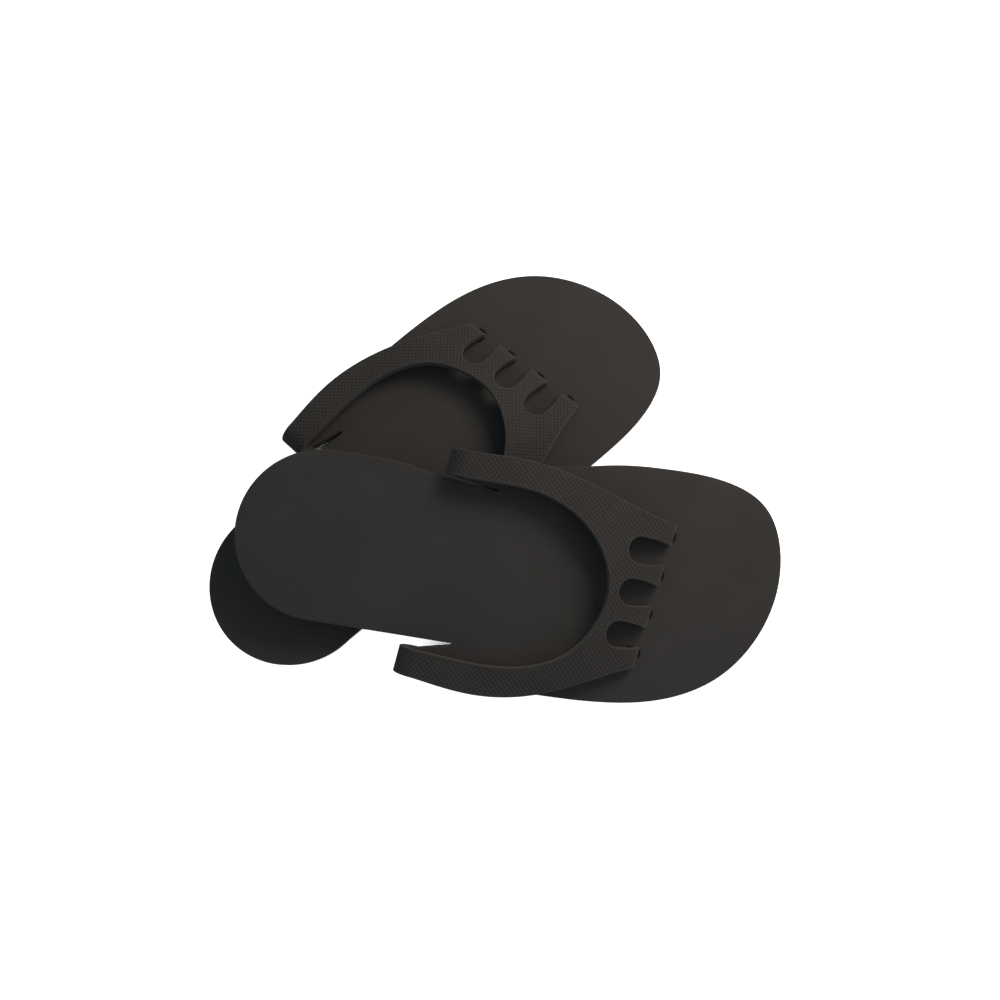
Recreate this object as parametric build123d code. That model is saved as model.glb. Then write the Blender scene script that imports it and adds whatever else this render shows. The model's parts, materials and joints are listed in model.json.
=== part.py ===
"""A pair of disposable pedicure flip flops, each folded up from one sheet of soft foam.

Each slipper is drawn once, as the right one, in its own frame: X from the heel to the toe, Y towards
the big toe, Z up from the underside of the sole. The left one is its mirror image. The left slipper
lies flat, and the right one lies across it, its toe on the floor and its heel on the left strap.
"""

from build123d import *
import math
import os

# The foam sheet
SHEET = 5.0
SOLE_LENGTH = 268.0
HEEL_RADIUS = 41.5

# The folds at the back of the strap, which both lie round one hinge line
OUTER_FOLD = Vector(97.0, -51.1)  # middle of the little toe side's fold
INNER_FOLD = Vector(103.5, 46.3)  # middle of the big toe side's fold
FOLD_WIDTH = 12.8
FOLD_INSIDE = 4.0  # radius inside the bend

# The strap's arch: its middle surface, above the underside of the sole
TIP_HEIGHT = 8.4
ARCH_RISE = 11.0
ARCH_HALF_WIDTH = 63.0
ARCH_FULL_FROM = 165.0  # the arch has its full height from here forwards
ARCH_FALLS_FROM = 150.0  # and bends down towards the toes from here

# The four prongs, whose ends lie on a slanting line, and the three toe openings between them
TIP_LINE = 207.2
TIP_SLANT = 0.12
PRONG_PITCH = 19.8
PRONG_MIDDLE = 1.5
OUTER_TIP_CORNERS = (-34.7, 37.7)
OPENING_RADIUS = 6.5
OPENING_MOUTH = 8.8
OPENING_CENTRES = (Vector(190.8, -19.9), Vector(193.2, 1.2), Vector(194.3, 22.0))

# The tabs on the prongs' ends, and the slots in the sole that they go through
TAB_WIDTH = 4.6
TAB_SHORT = 0.4  # how far a tab's end stays above the underside
SLOT_SIDE = 0.4
SLOT_BEHIND = 0.5
SLOT_AHEAD = 1.2

# How the two slippers lie
LEFT_YAW = 44.4
LEFT_HEEL = Vector(-135.6, -72.3, 0)
RIGHT_YAW = -10.2
RIGHT_HEEL = Vector(-127.0, -15.0, 29.6)
RIGHT_PITCH = 5.8  # toe down
RIGHT_ROLL = 8.0  # big toe side up

FLOOR_TO_SKY = 90.0


def smooth(share):
    """0 below 0, 1 above 1, and an even curve between them."""
    share = min(max(share, 0.0), 1.0)
    return share * share * (3 - 2 * share)


def tip_x(y):
    """Where the line of prong ends stands at this distance from the centre line."""
    return TIP_LINE + TIP_SLANT * y


def strap_height(x, y):
    """The height of the strap's middle surface."""
    fold_height = 1.5 * SHEET + 2 * FOLD_INSIDE
    risen = smooth((x - INNER_FOLD.X) / (ARCH_FULL_FROM - INNER_FOLD.X))
    low = fold_height + (TIP_HEIGHT - fold_height) * risen
    across = 1 - (y / ARCH_HALF_WIDTH) ** 2
    ahead = max(x - ARCH_FALLS_FROM, 0) / (tip_x(y) - ARCH_FALLS_FROM)
    return low + ARCH_RISE * risen * across * (1 - ahead**2)


def hinge_direction():
    """Along the line that both folds bend round."""
    return (INNER_FOLD - OUTER_FOLD).normalized()


def fold_ends(middle):
    """The inner and outer end of one fold's line, towards the foot and away from it."""
    half = hinge_direction() * (FOLD_WIDTH / 2)
    towards = half if middle.Y < 0 else -half
    return middle + towards, middle - towards


def slot_centres():
    """Where each prong's tab goes down, and the line of prong ends there."""
    for step in (-1.5, -0.5, 0.5, 1.5):
        y = PRONG_MIDDLE + step * PRONG_PITCH
        yield tip_x(y), y


def slab(outline, low=0.0, high=SHEET):
    """A flat plate with this closed outline."""
    return extrude(make_face(outline), amount=high - low).move(Location((0, 0, low)))


def sole():
    """The sole with its two side wings, which a slit parts from the heel, and its four slots."""
    outer_in, outer_out = fold_ends(OUTER_FOLD)
    inner_in, inner_out = fold_ends(INNER_FOLD)
    heel = Vector(HEEL_RADIUS, 0)
    outer_slit, inner_slit = Vector(113, -39.9), Vector(121.5, 38.0)
    slit_end = Vector(0, 0.8)
    edge = [
        ThreePointArc(
            heel - (0, HEEL_RADIUS), heel - (HEEL_RADIUS, 0), heel + (0, HEEL_RADIUS)
        ),
        Spline(
            [heel + (0, HEEL_RADIUS), (70, 42.2), (96, 39.0), inner_slit - slit_end],
            tangents=[(1, 0.05), (1, -0.1)],
        ),
        Line(inner_slit - slit_end, inner_slit),
        Line(inner_slit, inner_in),
        Line(inner_in, inner_out),
        Spline(
            [
                inner_out, (128, 53.4), (150, 55.2), (176, 61.2), (205, 64.6), (232, 64.2),
                (254, 56.2), (SOLE_LENGTH, 27), (263, -8), (247, -32), (221, -48),
                (190, -55), (160, -57), (128, -57.6), outer_out,
            ],
            tangents=[(1, 0.02), (-1, 0.02)],
        ),
        Line(outer_out, outer_in),
        Line(outer_in, outer_slit - slit_end),
        Line(outer_slit - slit_end, outer_slit),
        Line(outer_slit, heel - (0, HEEL_RADIUS)),
    ]
    plate = slab(edge)
    length = SHEET + SLOT_BEHIND + SLOT_AHEAD
    for x, y in slot_centres():
        middle = x + SLOT_AHEAD - length / 2
        plate -= Pos(middle, y, SHEET / 2) * Box(length, TAB_WIDTH + 2 * SLOT_SIDE, 2 * SHEET)
    return plate


def fold(middle):
    """The half turn that the sheet makes at the back of one side of the strap."""
    radius = FOLD_INSIDE + SHEET
    along = hinge_direction()
    start = middle - along * (FOLD_WIDTH / 2)
    level = Plane(origin=(start.X, start.Y, radius), x_dir=(along.Y, -along.X, 0), z_dir=along)
    ring = level * Circle(radius) - level * Circle(FOLD_INSIDE)
    ring -= level * Pos(radius, 0) * Rectangle(2 * radius, 4 * radius)
    return extrude(ring, amount=FOLD_WIDTH, dir=along)


def strap_outline():
    """The strap's shape from above, without its toe openings."""
    outer_in, outer_out = fold_ends(OUTER_FOLD)
    inner_in, inner_out = fold_ends(INNER_FOLD)
    low_y, high_y = OUTER_TIP_CORNERS
    low_tip, high_tip = Vector(tip_x(low_y), low_y), Vector(tip_x(high_y), high_y)
    return [
        Spline(
            [
                outer_in, (128, -46.0), (150, -42.9), (169, -32), (178.8, -15.5),
                (181.2, 1), (175.5, 17), (161.8, 31), (142, 39.2), inner_in,
            ],
            tangents=[(1, -0.03), (-1, 0.03)],
        ),
        Line(inner_in, inner_out),
        Spline(
            [inner_out, (122, 53.9), (146, 53.0), (170, 47.6), (190, 41.8), high_tip],
            tangents=[(1, 0.03), (1, -0.1)],
        ),
        Line(high_tip, low_tip),
        Spline(
            [low_tip, (184, -42.9), (164, -52.9), (147, -58.6), (126, -60.6), outer_out],
            tangents=[(-1, -0.3), (-1, 0.12)],
        ),
        Line(outer_out, outer_in),
    ]


def toe_opening(centre):
    """A round-ended notch between two prongs, narrower at their ends."""
    mouth_x = tip_x(centre.Y) + 1
    mouth = OPENING_MOUTH / 2
    lean = math.radians(18)
    side = Vector(math.sin(lean), math.cos(lean)) * OPENING_RADIUS
    taper = Polyline(
        [
            (centre.X + side.X, centre.Y - side.Y), (mouth_x, centre.Y - mouth),
            (mouth_x, centre.Y + mouth), (centre.X + side.X, centre.Y + side.Y),
        ],
        close=True,
    )
    notch = Pos(centre) * Circle(OPENING_RADIUS) + make_face(taper)
    return extrude(notch, amount=FLOOR_TO_SKY)


def arched_sheet():
    """A sheet of foam over the whole strap, bent to the strap's arch."""
    rows, columns = 22, 22
    low, high = Vector(INNER_FOLD.X - 12, -70), Vector(tip_x(45) + 6, 65)
    grid = [
        [
            Vector(x, y, strap_height(x, y))
            for y in (low.Y + (high.Y - low.Y) * j / columns for j in range(columns + 1))
        ]
        for x in (low.X + (high.X - low.X) * i / rows for i in range(rows + 1))
    ]
    middle = Face.make_surface_from_array_of_points(grid, tol=0.01)
    return thicken(middle, amount=SHEET / 2, both=True)


def strap():
    """The U-shaped band with its four prongs, and the tabs that go down through the sole."""
    plan = extrude(make_face(strap_outline()), amount=FLOOR_TO_SKY)
    for centre in OPENING_CENTRES:
        plan -= toe_opening(centre)
    band = arched_sheet() & plan
    for x, y in slot_centres():
        top = TIP_HEIGHT + 0.5
        height = top - TAB_SHORT
        band += Pos(x - SHEET / 2, y, TAB_SHORT + height / 2) * Box(SHEET, TAB_WIDTH, height)
    return band


def right_place():
    """The right slipper's frame, as it lies across the left one."""
    yaw, pitch, roll = (math.radians(a) for a in (RIGHT_YAW, RIGHT_PITCH, RIGHT_ROLL))
    forward = Vector(
        math.cos(yaw) * math.cos(pitch), math.sin(yaw) * math.cos(pitch), -math.sin(pitch)
    )
    side = Vector(-math.sin(yaw), math.cos(yaw), 0)
    up = forward.cross(side)
    return Plane(
        origin=RIGHT_HEEL, x_dir=forward, z_dir=up * math.cos(roll) - side * math.sin(roll)
    ).location


def pair():
    """Every node of both slippers, by name, where it lies in the pair."""
    pieces = {
        "sole": sole(),
        "outer_fold": fold(OUTER_FOLD),
        "inner_fold": fold(INNER_FOLD),
        "strap": strap(),
    }
    left = Pos(LEFT_HEEL) * Rot(0, 0, LEFT_YAW)
    right = right_place()
    nodes = {f"left_{name}": left * mirror(piece, about=Plane.XZ) for name, piece in pieces.items()}
    nodes |= {f"right_{name}": right * piece for name, piece in pieces.items()}
    boxes = [node.bounding_box() for node in nodes.values()]
    middle_x = (min(b.min.X for b in boxes) + max(b.max.X for b in boxes)) / 2
    middle_y = (min(b.min.Y for b in boxes) + max(b.max.Y for b in boxes)) / 2
    middle = Pos(-middle_x, -middle_y)
    return {name: middle * node for name, node in nodes.items()}


def main():
    os.makedirs("parts", exist_ok=True)
    for name, node in pair().items():
        export_step(node, f"parts/{name}.step")


main()
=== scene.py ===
"""The looks of a pair of disposable flip flops, each cut and folded from one sheet of soft dark foam.

A slipper is drawn once, in millimetres, in its own frame: X from the heel to the toe, Y towards the big
toe, Z up from the underside of the sole. The left one is its mirror image. A Placement carries each to
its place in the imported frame, in metres.
"""

import json
import logging
import math
from collections.abc import Callable, Iterable
from dataclasses import dataclass, field
from enum import Enum, IntEnum

import bpy
import numpy as np
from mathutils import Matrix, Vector, kdtree
from mathutils.geometry import delaunay_2d_cdt

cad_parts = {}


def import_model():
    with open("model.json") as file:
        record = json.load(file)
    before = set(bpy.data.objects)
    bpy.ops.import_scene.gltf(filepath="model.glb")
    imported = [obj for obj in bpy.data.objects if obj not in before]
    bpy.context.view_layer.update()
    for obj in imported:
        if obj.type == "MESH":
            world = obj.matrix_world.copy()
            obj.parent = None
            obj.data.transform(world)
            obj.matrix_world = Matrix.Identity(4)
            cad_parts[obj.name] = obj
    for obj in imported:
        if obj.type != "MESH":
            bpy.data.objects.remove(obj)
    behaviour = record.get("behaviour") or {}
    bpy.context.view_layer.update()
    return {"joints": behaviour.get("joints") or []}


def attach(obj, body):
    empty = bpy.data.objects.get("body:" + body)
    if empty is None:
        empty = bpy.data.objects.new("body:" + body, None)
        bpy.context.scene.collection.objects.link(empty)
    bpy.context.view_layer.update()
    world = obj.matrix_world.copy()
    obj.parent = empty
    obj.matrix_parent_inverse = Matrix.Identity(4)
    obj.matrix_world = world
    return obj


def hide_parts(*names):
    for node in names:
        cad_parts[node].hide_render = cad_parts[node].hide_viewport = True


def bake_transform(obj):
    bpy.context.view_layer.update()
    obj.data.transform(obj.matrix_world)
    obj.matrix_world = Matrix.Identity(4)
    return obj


LOG = logging.getLogger("flip_flops")
METRES = 0.001  # one of the slipper's millimetres, in the frame's metres
NEARLY_NOTHING = 1e-6

Points = np.ndarray
Numbers = np.ndarray
Shade = tuple[float, float, float]
Colour = tuple[float, float, float, float]


class Side(Enum):
    """Which foot a slipper is for."""

    LEFT = "left"
    RIGHT = "right"


class Surface(IntEnum):
    """The three kinds of foam surface, which are also the material slots of every piece."""

    SKIN = 0
    EMBOSSED = 1
    CUT = 2


# ---------------------------------------------------------------------------------------------
# Lines and outlines
# ---------------------------------------------------------------------------------------------


def smooth_step(share: Numbers) -> Numbers:
    """Returns an even curve from 0 to 1 as share goes from 0 to 1, and flat outside that."""
    share = np.clip(share, 0.0, 1.0)
    return share * share * (3 - 2 * share)


def crossed(first: Points, second: Points) -> Numbers:
    """The cross product of each pair of plan vectors, positive for a turn to the left."""
    return first[:, 0] * second[:, 1] - first[:, 1] * second[:, 0]


def straight(start: Iterable[float], end: Iterable[float], step: float) -> Points:
    """Points along a straight line, about step apart, both ends included."""
    start, end = np.array(start, float), np.array(end, float)
    count = max(1, round(float(np.linalg.norm(end - start)) / step))
    return start + (end - start) * np.linspace(0, 1, count + 1)[:, None]


def arc(centre: Iterable[float], radius: float, first: float, last: float, step: float) -> Points:
    """Points along a circle's arc.

    Args:
        centre: The circle's middle.
        radius: Its radius.
        first: The angle that the arc starts at, in degrees.
        last: The angle that it ends at, in degrees, with first > last for a clockwise arc.
        step: About how far apart the points lie.

    Returns:
        The points, both ends included.
    """
    turn = math.radians(last - first)
    count = max(3, round(abs(turn) * radius / step))
    angles = math.radians(first) + turn * np.linspace(0, 1, count + 1)
    return np.array(centre, float) + radius * np.stack([np.cos(angles), np.sin(angles)], 1)


def curve_through(
    places: list, start: tuple[float, float], end: tuple[float, float], step: float
) -> Points:
    """Points along the smooth curve through some places.

    Args:
        places: What the curve passes through, in order.
        start: Its direction at the first place.
        end: Its direction at the last place.
        step: About how far apart the points lie.

    Returns:
        The points, both ends included.
    """
    knots = np.array([tuple(p)[:2] for p in places], float)
    gaps = np.linalg.norm(np.diff(knots, axis=0), axis=1)
    system, wanted = np.eye(len(knots)), np.zeros((len(knots), 2))
    wanted[0] = np.array(start) / np.linalg.norm(start)
    wanted[-1] = np.array(end) / np.linalg.norm(end)
    for i in range(1, len(knots) - 1):
        before, after = 1 / gaps[i - 1], 1 / gaps[i]
        system[i, i - 1 : i + 2] = before, 2 * (before + after), after
        rise_before, rise_after = knots[i] - knots[i - 1], knots[i + 1] - knots[i]
        wanted[i] = 3 * (rise_before * before**2 + rise_after * after**2)
    slopes = np.linalg.solve(system, wanted)
    found = []
    for i, gap in enumerate(gaps):
        t = (np.arange(max(2, round(gap / step))) / max(2, round(gap / step)))[:, None]
        found.append(
            knots[i] * (1 + 2 * t) * (1 - t) ** 2
            + slopes[i] * gap * t * (1 - t) ** 2
            + knots[i + 1] * t * t * (3 - 2 * t)
            + slopes[i + 1] * gap * t * t * (t - 1)
        )
    return np.vstack([*found, knots[-1:]])


def shortened(run: Points, by: float) -> Points:
    """The run without its last stretch, by long, but with a new end point there."""
    lengths = np.linalg.norm(np.diff(run, axis=0), axis=1)
    left = lengths.sum() - by
    along = np.concatenate([[0.0], np.cumsum(lengths)])
    kept = run[along < left - NEARLY_NOTHING]
    end = [np.interp(left, along, run[:, k]) for k in range(run.shape[1])]
    return np.vstack([kept, end])


@dataclass(frozen=True)
class Run:
    """One stretch of an outline.

    Attributes:
        points: Where it goes.
        cut: True where it is a free edge, and false where the sheet goes on into a fold.
        rounding: How far from its end the corner with the next run starts to be rounded.
    """

    points: Points
    cut: bool = True
    rounding: float = 0.0


@dataclass(frozen=True)
class Outline:
    """A closed shape seen from above, counterclockwise, with holes in it.

    Attributes:
        loop: The points of its edge.
        cut: Whether each of them is on a free edge.
        holes: The edges of its holes.
    """

    loop: Points
    cut: np.ndarray
    holes: tuple[Points, ...] = ()

    CORNER_STEPS = 5

    @staticmethod
    def of(runs: list[Run], holes: Iterable[Points] = ()) -> "Outline":
        """The outline that these runs go round, each starting where the one before ends."""
        points, cut = [], []
        for i, run in enumerate(runs):
            following = runs[(i + 1) % len(runs)]
            before = runs[i - 1].rounding
            stretch = run.points
            if before:
                stretch = shortened(stretch[::-1], before)[::-1]
            if run.rounding:
                stretch = shortened(stretch, run.rounding)
                corner = run.points[-1]
                far = shortened(following.points[::-1], run.rounding)[-1]
                t = np.linspace(0, 1, Outline.CORNER_STEPS + 2)[1:-1, None]
                bend = stretch[-1] * (1 - t) ** 2 + 2 * corner * t * (1 - t) + far * t * t
                stretch = np.vstack([stretch, bend, far[None]])
            points.append(stretch[:-1])
            marks = np.full(len(stretch) - 1, run.cut)
            marks[0] |= runs[i - 1].cut
            cut.append(marks)
        loop, marks = np.vstack(points), np.concatenate(cut)
        if Outline.area(loop) < 0:
            loop, marks = loop[::-1], marks[::-1]
        return Outline(loop, marks, tuple(h if Outline.area(h) > 0 else h[::-1] for h in holes))

    @staticmethod
    def area(loop: Points) -> float:
        """The area inside a loop, negative where it goes clockwise."""
        return float(crossed(loop, np.roll(loop, -1, axis=0)).sum()) / 2

    def edges(self) -> list[Points]:
        """Every closed edge, the outer one first."""
        return [self.loop, *self.holes]

    def lattice(self, lines_u: Numbers, lines_v: Numbers, turn: float) -> Points:
        """The points inside the outline where two sets of parallel lines cross.

        Args:
            lines_u: Where the first set crosses its own axis, which is X turned by turn.
            lines_v: The same for the second set, whose axis is Y turned by turn.
            turn: The angle in degrees.

        Returns:
            The crossing points.
        """
        c, s = math.cos(math.radians(turn)), math.sin(math.radians(turn))
        back = np.array([[c, s], [-s, c]])
        turned = [edge @ back.T for edge in self.edges()]
        found = []
        for u in lines_u:
            crossings = []
            for edge in turned:
                a, b = edge, np.roll(edge, -1, axis=0)
                hit = (a[:, 0] > u) != (b[:, 0] > u)
                a, b = a[hit], b[hit]
                crossings.append(a[:, 1] + (b[:, 1] - a[:, 1]) * (u - a[:, 0]) / (b[:, 0] - a[:, 0]))
            below = np.searchsorted(np.sort(np.concatenate(crossings)), lines_v)
            kept = lines_v[below % 2 == 1]
            found.append(np.stack([np.full(len(kept), u), kept], 1))
        return np.vstack(found) @ back

    def inset(self, depth: float) -> Points:
        """Points that lie this deep inside the outline, beside each of its own."""
        found = []
        for edge in self.edges():
            along = np.roll(edge, -1, axis=0) - np.roll(edge, 1, axis=0)
            along /= np.linalg.norm(along, axis=1)[:, None]
            inward = np.stack([-along[:, 1], along[:, 0]], 1)
            if edge is not self.loop:
                inward = -inward
            found.append(edge + inward * depth)
        return np.vstack(found)


# ---------------------------------------------------------------------------------------------
# The foam sheet: its embossing, its cut edges, and solids made of it
# ---------------------------------------------------------------------------------------------


@dataclass(frozen=True)
class Embossing:
    """A grid of small raised squares, pressed into one face of the sheet at 45 degrees.

    Attributes:
        pitch: From one square to the next.
        groove: The width of the groove between two squares.
        depth: The groove's depth.
        turn: The angle of the grid to the slipper's length, in degrees.
        plain_by_fold: How wide a plain strip there is where a flat part meets a fold.
        grows_over: How far from that strip the grooves have their full depth.
    """

    pitch: float = 1.8
    groove: float = 0.9
    depth: float = 0.34
    turn: float = 45.0
    plain_by_fold: float = 0.2
    grows_over: float = 2.5

    def lines(self, low: float, high: float) -> Numbers:
        """Where the grid's lines run: along each groove and both sides of it."""
        first, last = math.floor(low / self.pitch), math.ceil(high / self.pitch)
        cells = np.arange(first, last + 1)[:, None] * self.pitch
        return (cells + np.array([-self.groove / 2, 0, self.groove / 2])).ravel()

    def depth_at(self, plan: Points) -> Numbers:
        """How deep the surface lies under the tops of the squares at these points."""
        c, s = math.cos(math.radians(self.turn)), math.sin(math.radians(self.turn))
        turned = plan @ np.array([[c, -s], [s, c]])
        from_groove = np.abs((turned / self.pitch + 0.5) % 1 - 0.5) * self.pitch
        out = np.clip(from_groove / (self.groove / 2), 0, 1)
        return self.depth * (1 - out.min(axis=1))

    def grown(self, from_fold: Numbers) -> Numbers:
        """The share of its depth that it has, this far from where a fold starts."""
        return smooth_step((from_fold - self.plain_by_fold) / self.grows_over)


@dataclass(frozen=True)
class CutEdge:
    """How the press knife leaves the rim of the sheet.

    Attributes:
        rim: The radius of the rim.
        rings: How far inside the edge the rim's rows of points lie.
        plain: How wide a border the embossing fades out over.
    """

    rim: float = 0.5
    rings: tuple[float, ...] = (0.08, 0.3, 0.7)
    plain: float = 0.9

    def drop(self, inside: Numbers) -> Numbers:
        """How far the surface falls, this far inside the edge."""
        short = np.clip(self.rim - inside, 0, self.rim)
        return self.rim - np.sqrt(self.rim**2 - short**2)

    def fade(self, inside: Numbers) -> Numbers:
        """The share of the embossing's depth that is left, this far inside the edge."""
        return smooth_step((inside - self.rings[1]) / (self.plain - self.rings[1]))


EMBOSSING = Embossing()
CUT_EDGE = CutEdge()


@dataclass(frozen=True)
class Layer:
    """The upper or lower face of a solid cut from the sheet.

    Attributes:
        place: Gives the points' places, from their places on the plan and their distance
            inside the nearest cut edge.
        surface: What kind of surface it is.
        spacing: How far apart its inner points lie where it isn't embossed.
    """

    place: Callable[[Points, Numbers], Points]
    surface: Surface
    spacing: float = 1.2


@dataclass
class Solid:
    """A closed mesh in the slipper's frame, in millimetres.

    Attributes:
        points: Where its points are.
        inside: How far each is inside the nearest cut edge.
        relief: How deep each is in the embossing, from 0 on a square to 1 in a groove.
        faces: The points that each face joins, counterclockwise from outside.
        surfaces: Which kind of surface each face is.
    """

    points: Points = field(default_factory=lambda: np.zeros((0, 3)))
    inside: Numbers = field(default_factory=lambda: np.zeros(0))
    relief: Numbers = field(default_factory=lambda: np.zeros(0))
    faces: list[tuple[int, ...]] = field(default_factory=list)
    surfaces: list[int] = field(default_factory=list)

    def add_points(self, points: Points, inside: Numbers, relief: Numbers) -> int:
        """Adds points.

        Args:
            points: Where they are.
            inside: How far each is inside the nearest cut edge.
            relief: How deep each is in the embossing, from 0 on a square to 1 in a groove.

        Returns:
            The number of the first one.
        """
        start = len(self.points)
        self.points = np.vstack([self.points, points])
        self.inside = np.concatenate([self.inside, inside])
        self.relief = np.concatenate([self.relief, relief])
        return start

    def join(self, other: "Solid") -> None:
        """Adds another solid to this one, as a body of its own."""
        start = self.add_points(other.points, other.inside, other.relief)
        self.faces += [tuple(i + start for i in face) for face in other.faces]
        self.surfaces += other.surfaces


class SheetCutter:
    """Makes closed solids from an outline and two faces.

    Attributes:
        wall_rows: How many rows of faces the cut edge has from top to bottom.
        clear_of_edge: How near to any edge an inner point may be.
        ring_play: The share of its own depth that a rim point has to keep from every edge.
    """

    wall_rows: int = 3
    clear_of_edge: float = 0.45
    ring_play: float = 0.8

    def __init__(self, outline: Outline) -> None:
        """Takes the shape to cut."""
        self.outline = outline
        edges = outline.edges()
        marks = [outline.cut, *(np.ones(len(hole), bool) for hole in outline.holes)]
        self.edge_points = np.vstack(edges)
        self.cut_tree = self._tree(self.edge_points[np.concatenate(marks)])
        self.edge_tree = self._tree(self.edge_points)

    @staticmethod
    def _tree(points: Points) -> kdtree.KDTree:
        """A search tree of points on the plan."""
        tree = kdtree.KDTree(len(points))
        for i, (x, y) in enumerate(points):
            tree.insert((x, y, 0.0), i)
        tree.balance()
        return tree

    @staticmethod
    def _distances(tree: kdtree.KDTree, points: Points) -> Numbers:
        """How far each point is from the nearest one in the tree."""
        return np.array([tree.find((x, y, 0.0))[2] for x, y in points])

    def _inner_points(self, layer: Layer) -> Points:
        """The points of a face that aren't on its edge."""
        low, high = self.outline.loop.min(axis=0), self.outline.loop.max(axis=0)
        reach = float(np.abs(np.concatenate([low, high])).max()) * math.sqrt(2)
        if layer.surface is Surface.EMBOSSED:
            lines = EMBOSSING.lines(-reach, reach)
            inner = self.outline.lattice(lines, lines, EMBOSSING.turn)
            border = CUT_EDGE.plain
        else:
            lines = np.arange(-reach, reach, layer.spacing)
            inner = self.outline.lattice(lines, lines, 0.0)
            border = max(CUT_EDGE.plain, layer.spacing / 2)
        from_cut = self._distances(self.cut_tree, inner)
        from_edge = self._distances(self.edge_tree, inner)
        inner = inner[(from_cut > border) & (from_edge > self.clear_of_edge)]
        rings = []
        for depth in CUT_EDGE.rings:
            ring = self.outline.inset(depth)
            clear = self._distances(self.edge_tree, ring) > self.ring_play * depth
            rings.append(ring[clear])
        return np.vstack([*rings, inner])

    def _triangles(self, points: Points) -> np.ndarray:
        """Triangles that fill the outline, over its edge points and the inner ones."""
        bounds, start = [], 0
        for edge in self.outline.edges():
            count = len(edge)
            bounds += [(start + i, start + (i + 1) % count) for i in range(count)]
            start += count
        places = [Vector(point) for point in points]
        made = delaunay_2d_cdt(places, bounds, [], 0, NEARLY_NOTHING, True)
        source = np.array([found[0] for found in made[3]])
        triangles = source[np.array([face for face in made[2] if len(face) == 3])]
        a, b, c = (points[triangles[:, k]] for k in range(3))
        turned = crossed(b - a, c - a) < 0
        triangles[turned] = triangles[turned][:, ::-1]
        return triangles[self._within((a + b + c) / 3)]

    def _within(self, places: Points) -> np.ndarray:
        """Which places lie on the sheet, neither outside its edge nor in one of its holes."""
        x, y = places[:, 0], places[:, 1]
        within = np.zeros(len(places), bool)
        for edge in self.outline.edges():
            for a, b in zip(edge, np.roll(edge, -1, axis=0), strict=True):
                if a[1] != b[1]:
                    crossing = a[0] + (b[0] - a[0]) * (y - a[1]) / (b[1] - a[1])
                    within ^= ((a[1] > y) != (b[1] > y)) & (x < crossing)
        return within

    def solid(self, upper: Layer, lower: Layer) -> Solid:
        """Cuts the solid.

        Args:
            upper: Its upper face.
            lower: Its lower face.

        Returns:
            The closed solid, whose faces all look outwards.
        """
        made = Solid()
        for layer, flipped in ((upper, False), (lower, True)):
            plan = np.vstack([self.edge_points, self._inner_points(layer)])
            inside = self._distances(self.cut_tree, plan)
            triangles = self._triangles(plan)
            if flipped:
                triangles = triangles[:, ::-1]
            relief = np.zeros(len(plan))
            if layer.surface is Surface.EMBOSSED:
                relief = EMBOSSING.depth_at(plan) * CUT_EDGE.fade(inside) / EMBOSSING.depth
            start = made.add_points(layer.place(plan, inside), inside, relief)
            made.faces += [tuple(t) for t in (triangles + start).tolist()]
            made.surfaces += [int(layer.surface)] * len(triangles)
            if flipped:
                self._wall(made, start)
        return made

    def _wall(self, made: Solid, lower_start: int) -> None:
        """Adds the cut edge between the solid's upper and lower faces."""
        count = len(self.edge_points)
        top, bottom = made.points[:count], made.points[lower_start : lower_start + count]
        rows = [np.arange(count)]
        for step in range(1, self.wall_rows):
            between = top + (bottom - top) * step / self.wall_rows
            rows.append(made.add_points(between, np.zeros(count), np.zeros(count)) + np.arange(count))
        rows.append(np.arange(count) + lower_start)
        start = 0
        for edge in self.outline.edges():
            here = np.arange(start, start + len(edge))
            after = np.roll(here, -1)
            if start:
                here, after = after, here
            for high, low in zip(rows, rows[1:], strict=False):
                quads = np.stack([high[here], low[here], low[after], high[after]], 1)
                made.faces += [tuple(q) for q in quads.tolist()]
                made.surfaces += [int(Surface.CUT)] * len(quads)
            start += len(edge)


# ---------------------------------------------------------------------------------------------
# The slipper's own shapes
# ---------------------------------------------------------------------------------------------


@dataclass(frozen=True)
class Fold:
    """Where one of the two half turns at the back of the strap lies on the hinge line.

    Attributes:
        name: What it is called.
        inner: Its end towards the foot.
        outer: Its end away from the foot.
    """

    name: str
    inner: Points
    outer: Points


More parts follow.
